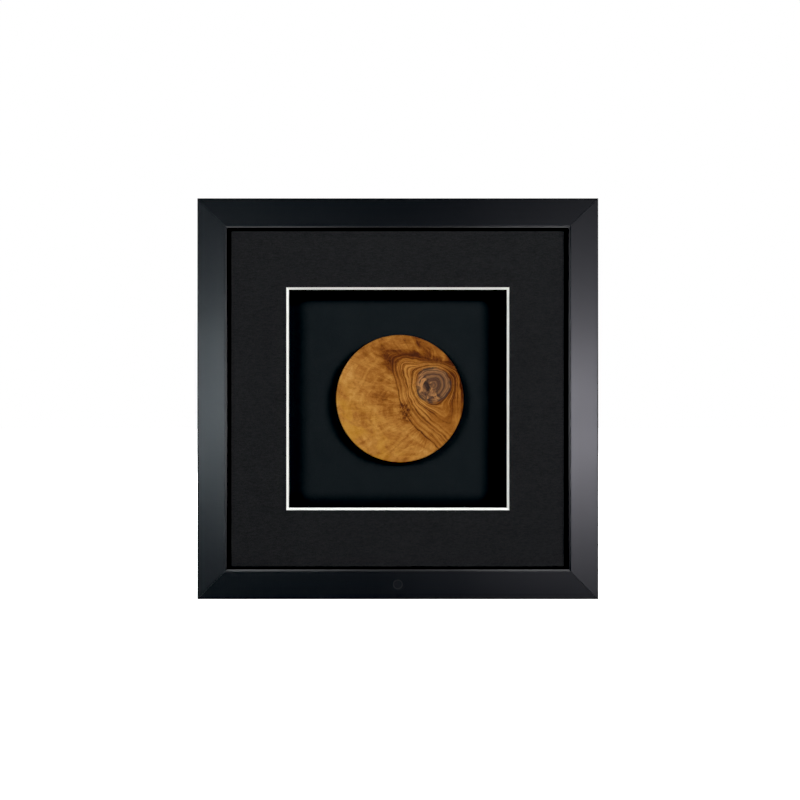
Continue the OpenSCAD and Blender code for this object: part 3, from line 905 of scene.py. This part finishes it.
# wire through the barrel, round two small corners, down, and round the bottom
def wireRing():
    low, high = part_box("hanger_ring")
    wire, corner = hanger["wire"], hanger["ringCorner"]
    top = high.z - wire
    half = high.x - wire
    y = (low.y + high.y) / 2
    shape = bmesh.new()
    bmesh.ops.create_circle(shape, cap_ends=False, segments=hanger["wireSides"], radius=wire)
    turnAbout(shape, (0, 0, 0), math.pi / 2)
    bmesh.ops.translate(shape, verts=shape.verts, vec=(0, y, top))
    tip = shape.edges[:]

    def run(by):
        grown = bmesh.ops.extrude_edge_only(shape, edges=tip)["geom"]
        bmesh.ops.translate(shape, verts=vertsIn(grown), vec=by)
        return edgesIn(grown)

    def bend(centre, angle, steps):
        spun = bmesh.ops.spin(shape, geom=tip, cent=centre, axis=(0, 1, 0), angle=angle, steps=steps,
                              use_merge=False, use_duplicate=False)
        return edgesIn(spun["geom_last"])

    roundAt = low.z + wire + half
    cornerSteps, roundSteps = hanger["ringSteps"]
    tip = run((half - corner, 0, 0))
    tip = bend((half - corner, y, top - corner), math.pi / 2, cornerSteps)
    tip = run((0, 0, roundAt - top + corner))
    tip = bend((0, y, roundAt), math.pi, roundSteps)
    tip = run((0, 0, top - corner - roundAt))
    tip = bend((corner - half, y, top - corner), math.pi / 2, cornerSteps)
    tip = run((half - corner, 0, 0))
    return shape


finishPiece("rolled_plate", rolledPlate(), brass, ["hanger_plate"])
finishPiece("domed_rivet", domedRivet(), brass, ["hanger_rivet"])
finishPiece("wire_ring", wireRing(), zinc, ["hanger_ring"], "hanger_ring", sharpAngle=60)
print("hanger plate, rivet and ring")

bumper = {
    "wide": 4.5 * mm,
    "narrow": 3.8 * mm,
    "footRound": 0.2 * mm,
    "edgeRound": 0.7 * mm,
    "edgeSteps": 6,
    "dish": 0.25 * mm,
    "dishShoulder": (0.55, 0.3),    # where the dish steepens, as shares of the radius and the depth
    "segments": 40,
}


def rubberBumpers():
    low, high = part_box("wall_bumpers")
    wide, narrow, soft = bumper["wide"], bumper["narrow"], bumper["edgeRound"]
    foot, dish, steps = bumper["footRound"], bumper["dish"], bumper["edgeSteps"]
    points = [(0, low.y), (wide - foot, low.y), (wide, low.y + foot)]
    for step in range(steps + 1):
        angle = step / steps * math.pi / 2
        points.append((narrow - soft + soft * math.cos(angle), high.y - soft + soft * math.sin(angle)))
    shoulder, shoulderDeep = bumper["dishShoulder"]
    points += [(narrow * shoulder, high.y - dish * shoulderDeep), (0, high.y - dish)]
    pads = []
    for x in (low.x + wide, high.x - wide):
        for z in (low.z + wide, high.z - wide):
            pads.append(turned(points, bumper["segments"], (x, 0, z)))
    return joinShapes(pads)


finishPiece("rubber_bumpers", rubberBumpers(), bumperRubber(), ["wall_bumpers"])

# the flat parts keep the shape they come with
spacerFinish = dullBoard("spacerBoard")
carried = {
    "corner_nails": platedMetal("nailSteel"),
    "glazing_pane": clearGlazing(),
    "mat_face_paper": matFacePaper(),
    "mat_core": matCoreBoard(),
    "display_board": dullBoard("displayBoard"),
    "adhesive_squares": dullBoard("adhesiveFoam"),
    "filler_board": dullBoard("fillerBoard"),
    "back_panel": backHardboard(),
    **{"spacer_" + side: spacerFinish for side in railTurns},
}
for node, material in carried.items():
    slots = frame["nodes"][node].data.materials
    slots.clear()
    slots.append(material)
print("flat parts finished:", len(carried))

studio = {
    "cameraAway": 1.0,                  # from the frame's face, in metres
    "cameraAt": (0.00137, 0.1242),      # X and Z
    "viewWidth": 0.4984,                # what the view takes in at the frame's face, in metres
    "filmWidth": 36,
    "floorRadius": 6.0,
    "floorTones": ((0.86, 0.86, 0.86), (0.92, 0.92, 0.92)),
    "floorGlow": 1.1,
    "blackLevel": 0.010,
}
# each light's place and size in metres, its power in watts, and whether shiny parts show it
roomLights = {
    "softboxRightLow": ((0.636, -1.010, -0.1508), (0.27, 0.26), 13.9, False),
    "softboxLeftLow": ((-0.484, -1.090, -0.1508), (0.31, 0.28), 9.2, False),
    "softboxRightHigh": ((0.636, -1.010, 0.3992), (0.27, 0.26), 13.9, False),
    "softboxLeftHigh": ((-0.484, -1.090, 0.3992), (0.31, 0.28), 9.2, False),
    "sideLeft": ((-1.7, 0.5, 0.6), (0.9, 0.9), 9.0, True),
    "sideRight": ((1.7, 0.5, 0.6), (0.9, 0.9), 9.0, True),
    "overhead": ((0, 0.4, 1.9), (1.4, 0.9), 9.0, True),
    "behindLeft": ((-0.7, 1.5, 0.5), (0.6, 1.0), 15.0, False),
    "behindRight": ((0.9, 1.3, 0.9), (0.5, 0.5), 8.0, False),
    "behindWide": ((0, 2.4, 1.0), (3.2, 1.8), 16.0, True),
}
# lights that only the lacquer's gloss sees, for the sheen along the rails: place, size, power and colour
sheenLights = {
    "sheenLeft": ((-0.280, -1.13, 0.121), (0.03, 0.03), 0.93, (0.80, 0.91, 1)),
    "sheenRight": ((0.290, -1.13, 0.093), (0.03, 0.03), 1.76, (0.92, 0.90, 1)),
    "glowLeft": ((-0.27, -1.13, 0.38), (0.25, 0.60), 0.13, (0.86, 0.94, 1)),
    "glowRight": ((0.30, -1.13, 0.28), (0.25, 0.80), 0.27, (0.97, 0.95, 1)),
    "sideSheenLeft": ((-2.0, 0, 0.6), (3.2, 1.0), 4.5, (0.90, 0.95, 1)),
    "sideSheenRight": ((2.0, 0, 0.6), (3.2, 1.0), 4.5, (0.90, 0.95, 1)),
}


# a white floor that shines by itself, so the ground stays white
def plainFloor():
    finish = Finish("paleFloor")
    cloud = finish.noise(finish.place(size=(1, 1, 1)), 1.2, 2)
    paper = finish.add("ShaderNodeBsdfDiffuse", sockets={"Color": finish.mix(cloud, *studio["floorTones"])})
    glow = finish.add("ShaderNodeEmission", sockets={"Strength": studio["floorGlow"]})
    material = finish.done(finish.add("ShaderNodeAddShader", sockets={0: paper, 1: glow}))
    shape = bmesh.new()
    bmesh.ops.create_circle(shape, cap_ends=True, segments=64, radius=studio["floorRadius"])
    floor = looseObject(shape, "floor")
    floor.data.materials.append(material)
    floor.visible_diffuse = False
    floor.visible_glossy = False


# a rectangular light that faces the middle of the case
def areaLight(name, at, size, watts):
    light = bpy.data.lights.new(name, "AREA")
    light.shape = "RECTANGLE"
    light.size, light.size_y = size
    light.energy = watts
    lamp = bpy.data.objects.new(name, light)
    bpy.context.scene.collection.objects.link(lamp)
    lamp.location = at
    lamp.rotation_euler = (middle - Vector(at)).to_track_quat("-Z", "Y").to_euler()
    lamp.visible_transmission = False
    return lamp


def whiteSurroundings():
    world = bpy.data.worlds.new("whiteRoom")
    world.use_nodes = True
    world.node_tree.nodes["Background"].inputs["Color"].default_value = (1, 1, 1, 1)
    for ray in ("diffuse", "glossy", "transmission", "scatter"):
        setattr(world.cycles_visibility, ray, False)
    bpy.context.scene.world = world


plainFloor()
whiteSurroundings()
for name, (at, size, watts, shows) in roomLights.items():
    areaLight(name, at, size, watts).visible_glossy = shows
lacqueredPieces = bpy.data.collections.new("lacqueredPieces")
for side in railTurns:
    lacqueredPieces.objects.link(bpy.data.objects["moulding_" + side])
for name, (at, size, watts, colour) in sheenLights.items():
    lamp = areaLight(name, at, size, watts)
    lamp.data.color = colour
    lamp.visible_diffuse = False
    lamp.light_linking.receiver_collection = lacqueredPieces

camera = bpy.data.cameras.new("camera")
camera.sensor_width = studio["filmWidth"]
camera.lens = studio["filmWidth"] * studio["cameraAway"] / studio["viewWidth"]
cameraStand = bpy.data.objects.new("camera", camera)
bpy.context.scene.collection.objects.link(cameraStand)
cameraStand.location = (studio["cameraAt"][0], frontY - studio["cameraAway"], studio["cameraAt"][1])
cameraStand.rotation_euler = (math.pi / 2, 0, 0)
bpy.context.scene.camera = cameraStand

display = bpy.context.scene.view_settings
display.view_transform = "Standard"
display.look = "None"
display.use_curve_mapping = True
display.curve_mapping.black_level = (studio["blackLevel"],) * 3
display.curve_mapping.update()
print("floor, lights and camera")
